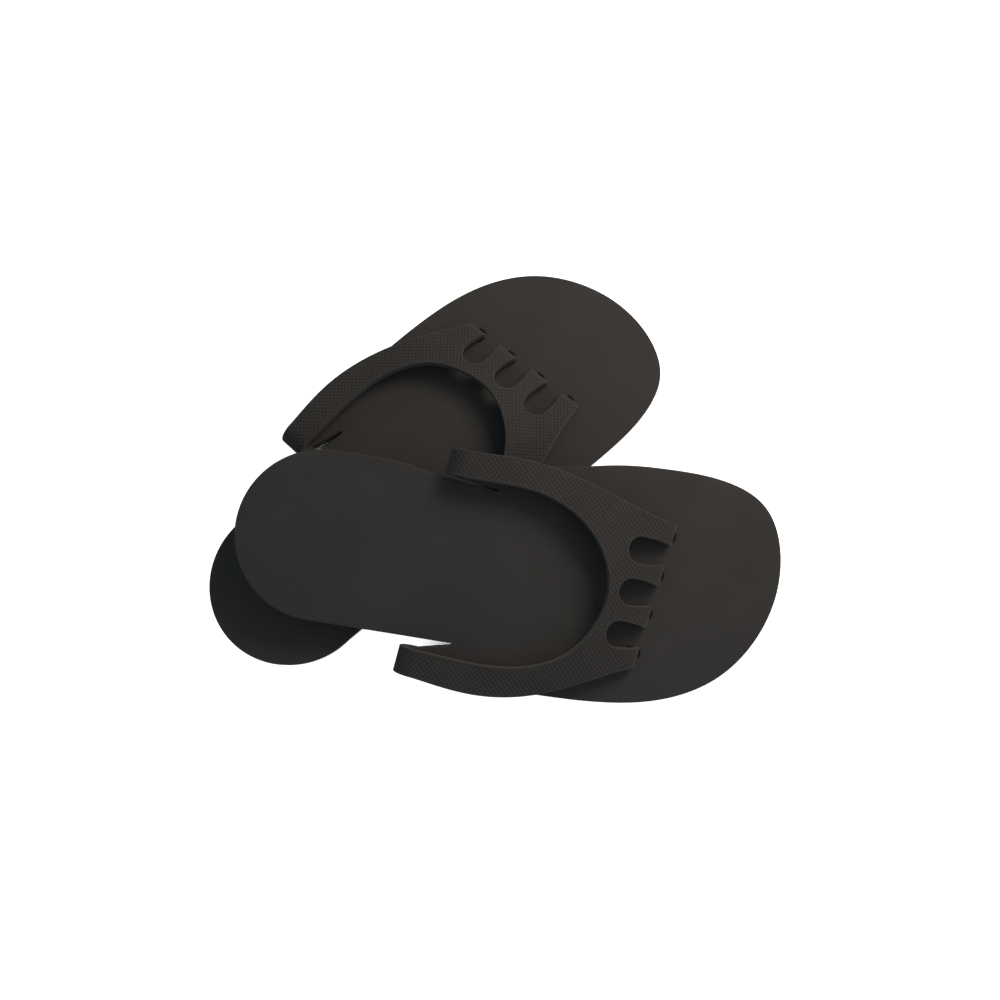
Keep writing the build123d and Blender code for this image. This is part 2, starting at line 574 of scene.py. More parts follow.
@dataclass(frozen=True)
class SlipperShape:
    """Every size of one slipper, in millimetres and degrees.

    Attributes:
        sheet: The foam's thickness.
        length: From the heel to the toe.
        heel_radius: The radius of the round heel.
        outer_fold: The middle of the little toe side's fold on the plan.
        inner_fold: The middle of the big toe side's fold.
        fold_width: How wide the sheet is where it folds.
        fold_inside: The radius inside the half turn.
        tip_height: The height of the strap's middle surface at the prongs' ends.
        arch_rise: How far the strap's middle stands above that.
        arch_half_width: How far from the centre line the arch would come down to nothing.
        arch_full_from: From here forwards the arch has its full height.
        arch_falls_from: From here forwards it bends down towards the toes.
        tip_line: Where the line of prong ends crosses the centre line.
        tip_slant: How far that line goes forwards for each millimetre across.
        prong_pitch: From one prong to the next.
        prong_middle: How far the four prongs stand off the centre line, towards the big toe.
        tip_corners: How far to each side the prongs' ends reach.
        tip_roll: How far a prong's end rolls back, and how far it falls there.
        opening_radius: The radius of a toe opening's round end.
        opening_mouth: The opening's width between the prongs' ends.
        mouth_lean: The angle between the opening's side and the slipper's length there.
        opening_centres: The middle of each opening's round end.
        tab_width: How wide the tab on a prong's end is.
        tab_short: How far a tab's end stays above the underside.
        slot_side: The room beside a tab in its slot.
        slot_behind: The room behind it.
        slot_ahead: The room ahead of it, at the slot's corners.
        fine_step: How far apart the points of the strap's and folds' edges lie.
        long_step: How far apart the points of the sole's edge lie.
        hinge_points: How many even points a fold's joint has, the deepest of both rims among them.
    """

    sheet: float = 5.0
    length: float = 268.0
    heel_radius: float = 41.5
    outer_fold: tuple[float, float] = (97.0, -51.1)
    inner_fold: tuple[float, float] = (103.5, 46.3)
    fold_width: float = 12.8
    fold_inside: float = 4.0
    tip_height: float = 8.4
    arch_rise: float = 11.0
    arch_half_width: float = 63.0
    arch_full_from: float = 165.0
    arch_falls_from: float = 150.0
    tip_line: float = 207.2
    tip_slant: float = 0.12
    prong_pitch: float = 19.8
    prong_middle: float = 1.5
    tip_corners: tuple[float, float] = (-34.7, 37.7)
    tip_roll: tuple[float, float] = (4.0, 4.8)
    opening_radius: float = 6.5
    opening_mouth: float = 8.8
    mouth_lean: float = 18.0
    opening_centres: tuple = ((190.8, -19.9), (193.2, 1.2), (194.3, 22.0))
    tab_width: float = 4.4
    tab_short: float = 0.4
    slot_side: float = 0.4
    slot_behind: float = 0.5
    slot_ahead: float = 0.8
    fine_step: float = 0.6
    long_step: float = 1.0
    hinge_points: int = 20

    def along_hinge(self) -> Points:
        """The direction of the line that both folds bend round, towards the big toe's side."""
        way = np.array(self.inner_fold) - np.array(self.outer_fold)
        return way / np.linalg.norm(way)

    def ahead_of_hinge(self) -> Points:
        """The direction on the plan that is square to the hinge line, towards the toes."""
        x, y = self.along_hinge()
        return np.array([y, -x])

    def hinge_middle(self) -> Points:
        """The point of the hinge line half way between the folds."""
        middle = (np.array(self.inner_fold) + np.array(self.outer_fold)) / 2
        return np.array([*middle, self.hinge_height()])

    def hinge_height(self) -> float:
        """The height of the hinge line, which is also the folds' outer radius."""
        return self.sheet + self.fold_inside

    def folds(self) -> tuple[Fold, Fold]:
        """The little toe side's fold and the big toe side's."""
        half = self.along_hinge() * self.fold_width / 2
        outer, inner = np.array(self.outer_fold), np.array(self.inner_fold)
        return (
            Fold("outer_fold", outer + half, outer - half),
            Fold("inner_fold", inner - half, inner + half),
        )

    def tip_x(self, y: Numbers) -> Numbers:
        """Where the line of prong ends stands, this far from the centre line."""
        return self.tip_line + self.tip_slant * y

    def slots(self) -> list[tuple[float, float]]:
        """Where each prong's tab goes down, and the line of prong ends there."""
        offsets = (self.prong_middle + k * self.prong_pitch for k in (-1.5, -0.5, 0.5, 1.5))
        return [(self.tip_x(y), y) for y in offsets]

    def strap_middle(self, plan: Points) -> Numbers:
        """The height of the strap's middle surface at these places."""
        x, y = plan[:, 0], plan[:, 1]
        fold_height = 1.5 * self.sheet + 2 * self.fold_inside
        start = self.inner_fold[0]
        risen = smooth_step((x - start) / (self.arch_full_from - start))
        low = fold_height + (self.tip_height - fold_height) * risen
        across = 1 - (y / self.arch_half_width) ** 2
        falls = self.arch_falls_from
        ahead = np.clip(x - falls, 0, None) / (self.tip_x(y) - falls)
        return low + self.arch_rise * risen * across * (1 - ahead**2)

    def hinge_run(self, start: Points, end: Points) -> Points:
        """Points along the joint between a flat part and a fold, closer at both rims."""
        width = float(np.linalg.norm(end - start))
        rim = np.array([0.0, *CUT_EDGE.rings])
        deepest = CUT_EDGE.rings[-1]
        inner = np.linspace(deepest, width - deepest, self.hinge_points)[1:-1]
        along = np.concatenate([rim, inner, (width - rim)[::-1]])
        return start + (end - start) * (along / width)[:, None]


def with_height(plan: Points, height: Numbers) -> Points:
    """Points on the plan, raised to these heights."""
    return np.column_stack([plan, height])


@dataclass(frozen=True)
class SoleShape:
    """The sole with its side wings, the slits beside the heel and the slots for the tabs.

    Attributes:
        shape: The slipper's sizes.
        slit_end: The width of a slit at its blind end.
        slit_rounding: How far from a corner of that end its rounding starts.
        slot_rounding: The same for a slot's corners.
        slot_bow: How far a slot's front edge bows forwards.
        fine_step: How far apart the points of the slits' ends and of the slots lie.
        swell: How far the waves in the soft sheet's upper face rise and dip.
        level_rim: How wide a rim of that face stays level.
        swells_over: How far from that rim the waves have their full height.
        wing_from: How far from the centre line a side wing starts.
        wing_blend: How far from there the wing's own fading of the embossing counts in full.
    """

    shape: SlipperShape
    slit_end: float = 0.8
    slit_rounding: float = 0.35
    slot_rounding: float = 0.7
    slot_bow: float = 0.5
    fine_step: float = 0.4
    swell: float = 0.16
    level_rim: float = 7.0
    swells_over: float = 12.0
    wing_from: float = 36.0
    wing_blend: float = 3.0

    def outline(self) -> Outline:
        """The sole's shape from above."""
        s, step, fine = self.shape, self.shape.long_step, self.fine_step
        outer, inner = s.folds()
        radius, reach = s.heel_radius, self.slit_rounding
        outer_slit, inner_slit = np.array([113.0, -39.9]), np.array([121.5, 38.0])
        end = np.array([0, self.slit_end])
        heel = arc((radius, 0), radius, -90, -270, step)
        fore = [
            inner.outer, (128, 53.4), (150, 55.2), (176, 61.2), (205, 64.6), (232, 64.2),
            (254, 56.2), (s.length, 27), (263, -8), (247, -32), (221, -48), (190, -55),
            (160, -57), (128, -57.6), outer.outer,
        ]  # fmt: skip
        waist = [(radius, radius), (70, 42.2), (96, 39.0), inner_slit - end]
        runs = [
            Run(heel),
            Run(curve_through(waist, (1, 0.05), (1, -0.1), step), rounding=reach),
            Run(straight(inner_slit - end, inner_slit, fine), rounding=reach),
            Run(straight(inner_slit, inner.inner, step)),
            Run(s.hinge_run(inner.inner, inner.outer), cut=False),
            Run(curve_through(fore, (1, 0.02), (-1, 0.02), step)),
            Run(s.hinge_run(outer.outer, outer.inner), cut=False),
            Run(straight(outer.inner, outer_slit - end, step), rounding=reach),
            Run(straight(outer_slit - end, outer_slit, fine), rounding=reach),
            Run(straight(outer_slit, (radius, -radius), step)),
        ]
        return Outline.of(runs, [self.slot(x, y) for x, y in s.slots()])

    def slot(self, x: float, y: float) -> Points:
        """The edge of the slot under one prong's end."""
        s = self.shape
        half = s.tab_width / 2 + s.slot_side
        back, front = x - s.sheet - s.slot_behind, x + s.slot_ahead
        corners = [(back, y - half), (front, y - half), (front, y + half), (back, y + half)]
        bowed = [corners[1], (front + self.slot_bow, y), corners[2]]
        step, reach = self.fine_step, self.slot_rounding
        return Outline.of(
            [
                Run(straight(corners[0], corners[1], step), rounding=reach),
                Run(curve_through(bowed, (0.35, 1), (-0.35, 1), step), rounding=reach),
                Run(straight(corners[2], corners[3], step), rounding=reach),
                Run(straight(corners[3], corners[0], step), rounding=reach),
            ]
        ).loop

    def solid(self) -> Solid:
        """The sole as a closed solid."""
        upper = Layer(self.upper, Surface.SKIN, spacing=4.0)
        lower = Layer(self.lower, Surface.EMBOSSED)
        return SheetCutter(self.outline()).solid(upper, lower)

    def upper(self, plan: Points, inside: Numbers) -> Points:
        """The smooth face that the foot stands on, which is never quite flat."""
        x, y = plan[:, 0], plan[:, 1]
        waves = np.sin(x / 21 + 0.8) * np.sin(y / 17 + 1.9) + np.sin(x / 37 - y / 29 + 0.4)
        swelling = smooth_step((inside - self.level_rim) / self.swells_over)
        swell = self.swell * (waves / 2 - 0.5) * swelling
        return with_height(plan, self.shape.sheet - CUT_EDGE.drop(inside) + swell)

    def lower(self, plan: Points, inside: Numbers) -> Points:
        """The embossed face that lies on the floor."""
        grooves = EMBOSSING.depth_at(plan) * CUT_EDGE.fade(inside) * self.pressed(plan)
        return with_height(plan, CUT_EDGE.drop(inside) + grooves)

    def pressed(self, plan: Points) -> Numbers:
        """The share of the embossing that is left, which is none where a wing starts to fold."""
        s = self.shape
        ahead = np.abs((plan - np.array(s.inner_fold)) @ s.ahead_of_hinge())
        at_wing = smooth_step((np.abs(plan[:, 1]) - self.wing_from) / self.wing_blend)
        return 1 - at_wing * (1 - EMBOSSING.grown(ahead))


@dataclass(frozen=True)
class StrapShape:
    """The arched strap with its four prongs and the tabs that go down through the sole.

    Attributes:
        shape: The slipper's sizes.
        sole_gap: How far the prongs' ends stay above the sole.
        tip_rounding: How far from a prong's corner its rounding starts.
        tab_rounding: The same for a tab's corners.
        tab_step: How far apart the points of a tab's edge lie.
        root: How far a tab reaches up into its prong.
    """

    shape: SlipperShape
    sole_gap: float = 0.08
    tip_rounding: float = 2.2
    tab_rounding: float = 0.9
    tab_step: float = 0.5
    root: float = 0.25

    def outline(self) -> Outline:
        """The strap's shape from above, toe openings included."""
        s, step, reach = self.shape, self.shape.fine_step, self.tip_rounding
        outer, inner = s.folds()
        low_y, high_y = s.tip_corners
        low_tip, high_tip = (s.tip_x(low_y), low_y), (s.tip_x(high_y), high_y)
        lateral = [outer.outer, (126, -60.6), (147, -58.6), (164, -52.9), (184, -42.9), low_tip]
        medial = [high_tip, (190, 41.8), (170, 47.6), (146, 53.0), (122, 53.9), inner.outer]
        crown = [
            inner.inner, (142, 39.2), (161.8, 31), (175.5, 17), (181.2, 1), (178.8, -15.5),
            (169, -32), (150, -42.9), (128, -46), outer.inner,
        ]  # fmt: skip
        runs = [Run(curve_through(lateral, (1, -0.12), (1, 0.3), step), rounding=reach)]
        here = np.array(low_tip)
        for centre in s.opening_centres:
            notch = self.notch(centre)
            runs.append(Run(straight(here, notch[0], step), rounding=reach))
            runs.append(Run(notch, rounding=reach))
            here = notch[-1]
        runs += [
            Run(straight(here, high_tip, step), rounding=reach),
            Run(curve_through(medial, (-1, 0.1), (-1, -0.03), step)),
            Run(s.hinge_run(inner.outer, inner.inner), cut=False),
            Run(curve_through(crown, (1, -0.03), (-1, 0.03), step)),
            Run(s.hinge_run(outer.inner, outer.outer), cut=False),
        ]
        return Outline.of(runs)

    def notch(self, centre: tuple[float, float]) -> Points:
        """The edge of the round-ended toe opening between two prongs, from mouth to mouth."""
        s = self.shape
        y, half, lean = centre[1], s.opening_mouth / 2, math.radians(s.mouth_lean)
        low, high = (s.tip_x(y - half), y - half), (s.tip_x(y + half), y + half)
        bowl = arc(centre, s.opening_radius, -90, -270, s.fine_step)
        narrowing = (math.cos(lean), math.sin(lean))
        below = curve_through([low, bowl[0]], (-narrowing[0], -narrowing[1]), (-1, 0), s.fine_step)
        above = curve_through([bowl[-1], high], (1, 0), (narrowing[0], -narrowing[1]), s.fine_step)
        return np.vstack([below[:-1], bowl[:-1], above])

    def solid(self) -> Solid:
        """The strap and its tabs as closed solids."""
        upper = Layer(self.upper, Surface.EMBOSSED)
        lower = Layer(self.lower, Surface.SKIN, spacing=2.5)
        made = SheetCutter(self.outline()).solid(upper, lower)
        for x, y in self.shape.slots():
            made.join(self.tab(x, y))
        return made

    def behind_tip(self, plan: Points) -> Numbers:
        """How far behind the line of prong ends these places are."""
        return np.clip(self.shape.tip_x(plan[:, 1]) - plan[:, 0], 0, None)

    def upper(self, plan: Points, inside: Numbers) -> Points:
        """The embossed face, which rolls over and down at the prongs' ends."""
        s = self.shape
        length, fall = s.tip_roll
        short = np.clip(1 - self.behind_tip(plan) / length, 0, 1)
        rolled = fall * (1 - np.sqrt(1 - short**2))
        grooves = EMBOSSING.depth_at(plan) * CUT_EDGE.fade(inside)
        height = s.strap_middle(plan) + s.sheet / 2 - CUT_EDGE.drop(inside) - rolled - grooves
        return with_height(plan, np.maximum(height, s.sheet + self.sole_gap))

    def lower(self, plan: Points, inside: Numbers) -> Points:
        """The smooth face towards the foot, which comes down to the sole at the prongs' ends."""
        s = self.shape
        under = s.strap_middle(plan) - s.sheet / 2 + CUT_EDGE.drop(inside)
        down = smooth_step(1 - self.behind_tip(plan) / s.tip_roll[0])
        return with_height(plan, under + (s.sheet + self.sole_gap / 2 - under) * down)

    def tab(self, x: float, y: float) -> Solid:
        """The narrow tab on a prong's end, rounded at its corners."""
        s = self.shape
        half, step, reach = s.tab_width / 2, self.tab_step, self.tab_rounding
        corners = [(x - s.sheet, y - half), (x, y - half), (x, y + half), (x - s.sheet, y + half)]
        sides = zip(corners, corners[1:] + corners[:1], strict=True)
        outline = Outline.of([Run(straight(a, b, step), rounding=reach) for a, b in sides])

        def into_prong(plan: Points, inside: Numbers) -> Points:
            """The tab's root, a little way inside the prong."""
            return self.lower(plan, np.full(len(plan), CUT_EDGE.plain)) + [0, 0, self.root]

        def bottom(plan: Points, inside: Numbers) -> Points:
            """The tab's end, just short of the sole's underside."""
            return with_height(plan, s.tab_short + CUT_EDGE.drop(inside))

        return SheetCutter(outline).solid(Layer(into_prong, Surface.CUT), Layer(bottom, Surface.CUT))


@dataclass(frozen=True)
class FoldShape:
    """One half turn of the sheet, drawn flat behind the hinge line and then rolled up.

    Attributes:
        shape: The slipper's sizes.
        fold: Which fold it is.
    """

    shape: SlipperShape
    fold: Fold

    def outline(self) -> Outline:
        """The fold as it would lie unrolled behind the hinge line."""
        s = self.shape
        low, high = sorted((self.fold.inner, self.fold.outer), key=lambda end: end[1])
        back = -s.ahead_of_hinge() * math.pi * s.hinge_height()
        return Outline.of(
            [
                Run(s.hinge_run(low, high), cut=False),
                Run(straight(high, high + back, s.fine_step)),
                Run(s.hinge_run(high + back, low + back), cut=False),
                Run(straight(low + back, low, s.fine_step)),
            ]
        )

    def behind(self, plan: Points) -> Numbers:
        """How far behind the hinge line each flat point lies."""
        return (np.array(self.fold.inner) - plan) @ self.shape.ahead_of_hinge()

    def rolled(self, plan: Points, radius: Numbers) -> Points:
        """Wraps flat points round the hinge line, at this radius from it."""
        s = self.shape
        behind = self.behind(plan)
        on_hinge = plan + behind[:, None] * s.ahead_of_hinge()
        angle = np.clip(behind / s.hinge_height(), 0, math.pi)
        out = on_hinge - s.ahead_of_hinge() * (radius * np.sin(angle))[:, None]
        return with_height(out, s.hinge_height() + radius * np.cos(angle))

    def solid(self) -> Solid:
        """The fold as a closed solid."""
        s = self.shape

        def outside(plan: Points, inside: Numbers) -> Points:
            """The embossed face of the half turn, which is pressed flat beside the sole."""
            grooves = EMBOSSING.depth_at(plan) * CUT_EDGE.fade(inside)
            grooves *= EMBOSSING.grown(math.pi * s.hinge_height() - self.behind(plan))
            return self.rolled(plan, s.hinge_height() - CUT_EDGE.drop(inside) - grooves)

        def hollow(plan: Points, inside: Numbers) -> Points:
            """The smooth face inside the half turn."""
            return self.rolled(plan, s.fold_inside + CUT_EDGE.drop(inside))

        upper, lower = Layer(outside, Surface.EMBOSSED), Layer(hollow, Surface.SKIN)
        return SheetCutter(self.outline()).solid(upper, lower)


# ---------------------------------------------------------------------------------------------
# Finishes
# ---------------------------------------------------------------------------------------------


def opaque(shade: Shade) -> Colour:
    """The shade with an alpha of 1."""
    return (*shade, 1.0)


def grey(level: float) -> Colour:
    """An opaque grey."""
    return opaque((level, level, level))


@dataclass
class Wiring:
    """A node tree that is being wired up.

    Attributes:
        tree: The tree.
    """

    tree: bpy.types.NodeTree

    def node(self, kind: str, values: dict | None = None, **settings: object) -> bpy.types.Node:
        """Adds a node.

        Args:
            kind: Its type, without the words that every shader node's type starts with.
            values: What goes into its inputs, by name or number: a value, or another's output.
            settings: Its own properties.

        Returns:
            The node.
        """
        made = self.tree.nodes.new(f"ShaderNode{kind}")
        for name, value in settings.items():
            setattr(made, name, value)
        for name, value in (values or {}).items():
            self.feed(made.inputs[name], value)
        return made

    def feed(self, socket: bpy.types.NodeSocket, value: object) -> None:
        """Sets an input, or links another node's output to it."""
        if isinstance(value, bpy.types.NodeSocket):
            self.tree.links.new(value, socket)
        else:
            socket.default_value = value

    def math(self, operation: str, first: object, second: object) -> bpy.types.NodeSocket:
        """The result of one step of arithmetic."""
        return self.node("Math", {0: first, 1: second}, operation=operation).outputs[0]

    def scaled(self, value: object, factor: object, plus: object) -> bpy.types.NodeSocket:
        """The value times the factor, with something added."""
        values = {0: value, 1: factor, 2: plus}
        return self.node("Math", values, operation="MULTIPLY_ADD").outputs[0]

    def ramp(self, value: object, low: float, high: float) -> bpy.types.NodeSocket:
        """Goes evenly from 0 to 1 as the value goes from low to high."""
        values = {"Value": value, "From Min": low, "From Max": high}
        made = self.node("MapRange", values, interpolation_type="SMOOTHSTEP")
        return made.outputs["Result"]

    def mixed(self, share: object, first: object, second: object) -> bpy.types.NodeSocket:
        """A mix of two colours, with this share of the second."""
        made = self.node("Mix", data_type="RGBA")
        # A Mix node has the inputs of every data type, and these are the ones for colours
        for number, value in ((0, share), (6, first), (7, second)):
            self.feed(made.inputs[number], value)
        return made.outputs[2]


class EffectGroup:
    """A shader effect that several finishes use, built once as a node group.

    Attributes:
        title: What the group is called.
        inputs: The names of its inputs, with the value that each starts with.
        outputs: The names of its outputs.
    """

    title: str = ""
    inputs: tuple[tuple[str, float], ...] = ()
    outputs: tuple[str, ...] = ()

    def __init__(self) -> None:
        """Builds the group."""
        self.tree = bpy.data.node_groups.new(self.title, "ShaderNodeTree")
        sockets, number = self.tree.interface, "NodeSocketFloat"
        for name, value in self.inputs:
            socket = sockets.new_socket(name, in_out="INPUT", socket_type=number)
            socket.default_value = value
        for name in self.outputs:
            sockets.new_socket(name, in_out="OUTPUT", socket_type=number)
        wiring = Wiring(self.tree)
        given = self.tree.nodes.new("NodeGroupInput")
        results = self.tree.nodes.new("NodeGroupOutput")
        for name, value in self.wire(wiring, given.outputs).items():
            wiring.feed(results.inputs[name], value)

    def wire(self, wiring: Wiring, given: bpy.types.NodeOutputs) -> dict:
        """Wires the effect and returns what goes to each output."""
        raise NotImplementedError

    def place(self, wiring: Wiring, values: dict) -> bpy.types.NodeOutputs:
        """Puts the group into a finish with its own values, and returns its outputs."""
        made = wiring.node("Group", node_tree=self.tree)
        for name, value in values.items():
            wiring.feed(made.inputs[name], value)
        return made.outputs


class FoamCells(EffectGroup):
    """The small closed cells of the foam, and how unevenly they took up the pigment."""

    title = "Foam cells"
    inputs = (("Cell Size", 0.4), ("Lump Size", 2.5), ("Lumps", 0.5))
    outputs = ("Height", "Tone")

    def wire(self, wiring: Wiring, given: bpy.types.NodeOutputs) -> dict:
        """Wires the cells, whose sizes are in millimetres, and returns height and tone."""
        place = wiring.node("TexCoord").outputs["Object"]
        fine = wiring.math("DIVIDE", 1 / METRES, given["Cell Size"])
        broad = wiring.math("DIVIDE", 1 / METRES, given["Lump Size"])
        cells = wiring.node("TexVoronoi", {"Vector": place, "Scale": fine, "Randomness": 0.9})
        grain = wiring.node("TexNoise", {"Vector": place, "Scale": fine, "Detail": 3.0})
        lumps = wiring.node("TexNoise", {"Vector": place, "Scale": broad, "Detail": 2.0})
        clouds = wiring.node("TexNoise", {"Vector": place, "Scale": 70.0, "Detail": 5.0})
        cell_height = wiring.math("SUBTRACT", 1.0, cells.outputs["Distance"])
        grained = wiring.scaled(grain.outputs["Fac"], 0.6, cell_height)
        fine_height = wiring.math("MULTIPLY", grained, 0.5)
        height = wiring.scaled(lumps.outputs["Fac"], given["Lumps"], fine_height)
        cloudy = wiring.math("MULTIPLY", clouds.outputs["Fac"], 0.6)
        speckled = wiring.math("MULTIPLY", cells.outputs["Color"], 0.4)
        tone = wiring.math("ADD", cloudy, speckled)
        return {"Height": height, "Tone": wiring.ramp(tone, 0.25, 0.75)}


class HandlingMarks(EffectGroup):
    """Pale dust, lint and finger marks that dark foam picks up."""

    title = "Handling marks"
    inputs = (("Dust", 0.3), ("Specks", 0.2))
    outputs = ("Mask",)

    def wire(self, wiring: Wiring, given: bpy.types.NodeOutputs) -> dict:
        """Wires cloudy dust and scattered specks, and returns where they lie."""
        place = wiring.node("TexCoord").outputs["Object"]
        uneven = {"Vector": place, "Scale": 28.0, "Detail": 6.0, "Roughness": 0.62}
        clouds = wiring.node("TexNoise", uneven)
        dots = wiring.node("TexVoronoi", {"Vector": place, "Scale": 260.0, "Randomness": 1.0})
        rare = wiring.node("TexNoise", {"Vector": place, "Scale": 90.0, "Detail": 1.0})
        settled = wiring.ramp(clouds.outputs["Fac"], 0.42, 0.72)
        cloud = wiring.math("MULTIPLY", settled, given["Dust"])
        near = wiring.math("SUBTRACT", 1.0, wiring.ramp(dots.outputs["Distance"], 0.03, 0.09))
        speck = wiring.math("MULTIPLY", near, wiring.ramp(rare.outputs["Fac"], 0.55, 0.6))
        specks = wiring.math("MULTIPLY", speck, given["Specks"])
        return {"Mask": wiring.math("MAXIMUM", cloud, specks)}


class RimScuffsAndHighlight(EffectGroup):
    """The rim of a cut edge, a little paler and uneven: partly scuffs, partly painted highlight."""

    title = "Rim scuffs and highlight"
    inputs = (("From Edge", 9.0), ("Width", 1.0), ("Strength", 0.4))
    outputs = ("Mask",)

    def wire(self, wiring: Wiring, given: bpy.types.NodeOutputs) -> dict:
        """Wires the scuffs and painted highlight, sized in millimetres, and returns where they are."""
        place = wiring.node("TexCoord").outputs["Object"]
        patches = wiring.node("TexNoise", {"Vector": place, "Scale": 180.0, "Detail": 4.0})
        share = wiring.math("DIVIDE", given["From Edge"], given["Width"])
        near = wiring.math("SUBTRACT", 1.0, wiring.ramp(share, 0.2, 1.0))
        scuffed_and_lit = wiring.math("MULTIPLY", near, wiring.ramp(patches.outputs["Fac"], 0.35, 0.65))
        return {"Mask": wiring.math("MULTIPLY", scuffed_and_lit, given["Strength"])}


@dataclass(frozen=True)
class FoamFinish:
    """One kind of surface of the dark foam.

    Attributes:
        title: What the material is called.
        colour: The foam's own colour.
        pale: The colour of the cells that took up the least pigment.
        cell: The size of the cells, in millimetres.
        lumps: How uneven the surface is on a broader scale.
        bump: How deep the cells look, in millimetres.
        roughness: How matt it is.
        specular: How strong its gloss is.
        sheen: How much fuzz it has at a grazing angle.
        dust: How much dust shows on it.
        groove: How much darker the grooves of the embossing are painted, as painted shade.
        dust_colour: The colour of that dust.
    """

    title: str
    colour: Shade
    pale: Shade
    cell: float
    lumps: float
    bump: float
    roughness: float
    specular: float = 0.2
    sheen: float = 0.05
    dust: float = 0.05
    groove: float = 0.0
    dust_colour: Shade = (0.11, 0.104, 0.097)

    def deep(self) -> Shade:
        """The foam's colour in a groove of the embossing, darkened as painted shade."""
        return tuple(level * (1 - self.groove) for level in self.colour)

    def rubbed_and_lit(self, gain: float) -> Shade:
        """A scuffed rim's colour with painted highlight, this many times as bright as the palest cells.
        """
        return tuple(level * gain for level in self.pale)


@dataclass
class FinishBench:
    """Makes the foam's materials from the shared effects.

    Attributes:
        cells: The cells of the foam.
        marks: The dust and specks on it.
        rim: The scuffs and painted highlight along its cut edges.
        specks: How many times as strong as the dust the specks are.
        rim_width: How far the scuffs and painted highlight reach from an edge, in millimetres.
        rim_scuff_and_highlight_strength: How strong the scuffs and painted highlight are.
        rim_highlight_gain: How many times as bright as the palest cells the scuffed rim with its
            painted highlight is.
        dust_roughness: How much rougher the foam is under dust.
        tone_roughness: How much rougher it is where it is palest.
        sheen_roughness: How widely its fuzz scatters light.
    """

    cells: FoamCells
    marks: HandlingMarks
    rim: RimScuffsAndHighlight
    specks: float = 3.0
    rim_width: float = 1.2
    rim_scuff_and_highlight_strength: float = 0.12
    rim_highlight_gain: float = 1.5
    dust_roughness: float = 0.08
    tone_roughness: float = 0.06
    sheen_roughness: float = 0.6

    def material(self, finish: FoamFinish) -> bpy.types.Material:
        """Makes the material of one finish.

        Args:
            finish: Its values.

        Returns:
            The material.
        """
        made = bpy.data.materials.new(finish.title)
        made.use_nodes = True
        made.node_tree.nodes.clear()
        wiring = Wiring(made.node_tree)
        from_edge = wiring.node("Attribute", attribute_name="from_edge").outputs["Fac"]
        relief = wiring.node("Attribute", attribute_name="relief").outputs["Fac"]
        cells = self.cells.place(wiring, {"Cell Size": finish.cell, "Lumps": finish.lumps})
        dust = self.marks.place(wiring, {"Dust": finish.dust, "Specks": finish.dust * self.specks})
        scuff_and_highlight = {"From Edge": from_edge, "Width": self.rim_width, "Strength": self.rim_scuff_and_highlight_strength}
        rim = self.rim.place(wiring, scuff_and_highlight)

        colour = wiring.mixed(cells["Tone"], opaque(finish.colour), opaque(finish.pale))
        # Painted shade: the embossing's grooves are coloured darker by how deep they are
        if finish.groove:
            colour = wiring.mixed(relief, colour, opaque(finish.deep()))
        # The paler rim by the cut edges is partly scuffs and partly painted highlight, where light
        # would catch the rounded edge
        colour = wiring.mixed(rim["Mask"], colour, opaque(finish.rubbed_and_lit(self.rim_highlight_gain)))
        colour = wiring.mixed(dust["Mask"], colour, opaque(finish.dust_colour))
        clean = wiring.scaled(cells["Tone"], self.tone_roughness, finish.roughness)
        rough = wiring.scaled(dust["Mask"], self.dust_roughness, clean)
        bumps = {"Height": cells["Height"], "Distance": finish.bump * METRES}
        normal = wiring.node("Bump", bumps).outputs["Normal"]

        looks = {"Base Color": colour, "Roughness": rough, "Normal": normal}
        shader = wiring.node("BsdfPrincipled", looks)
        shader.inputs["Specular IOR Level"].default_value = finish.specular
        shader.inputs["Sheen Weight"].default_value = finish.sheen
        shader.inputs["Sheen Roughness"].default_value = self.sheen_roughness
        wiring.node("OutputMaterial", {"Surface": shader.outputs["BSDF"]})
        return made


SMOOTH_SKIN = FoamFinish(
    "Smooth foam skin",
    colour=(0.0275, 0.0256, 0.0240),
    pale=(0.0298, 0.0277, 0.0260),
    cell=0.35,
    lumps=0.9,
    bump=0.035,
    roughness=0.80,
)
EMBOSSED_FACE = FoamFinish(
    "Embossed foam face",
    colour=(0.0285, 0.0262, 0.0242),
    pale=(0.0312, 0.0287, 0.0265),
    cell=0.30,
    lumps=0.5,
    bump=0.03,
    roughness=0.78,
    groove=0.34,
)
CUT_FACE = FoamFinish(
    "Cut foam edge",
    colour=(0.0270, 0.0251, 0.0235),
    pale=(0.0330, 0.0307, 0.0287),
    cell=0.45,
    lumps=0.3,
    bump=0.12,
    roughness=0.92,
    specular=0.12,
    sheen=0.08,
    dust=0.04,
)


# ---------------------------------------------------------------------------------------------
# The pair in the frame
# ---------------------------------------------------------------------------------------------


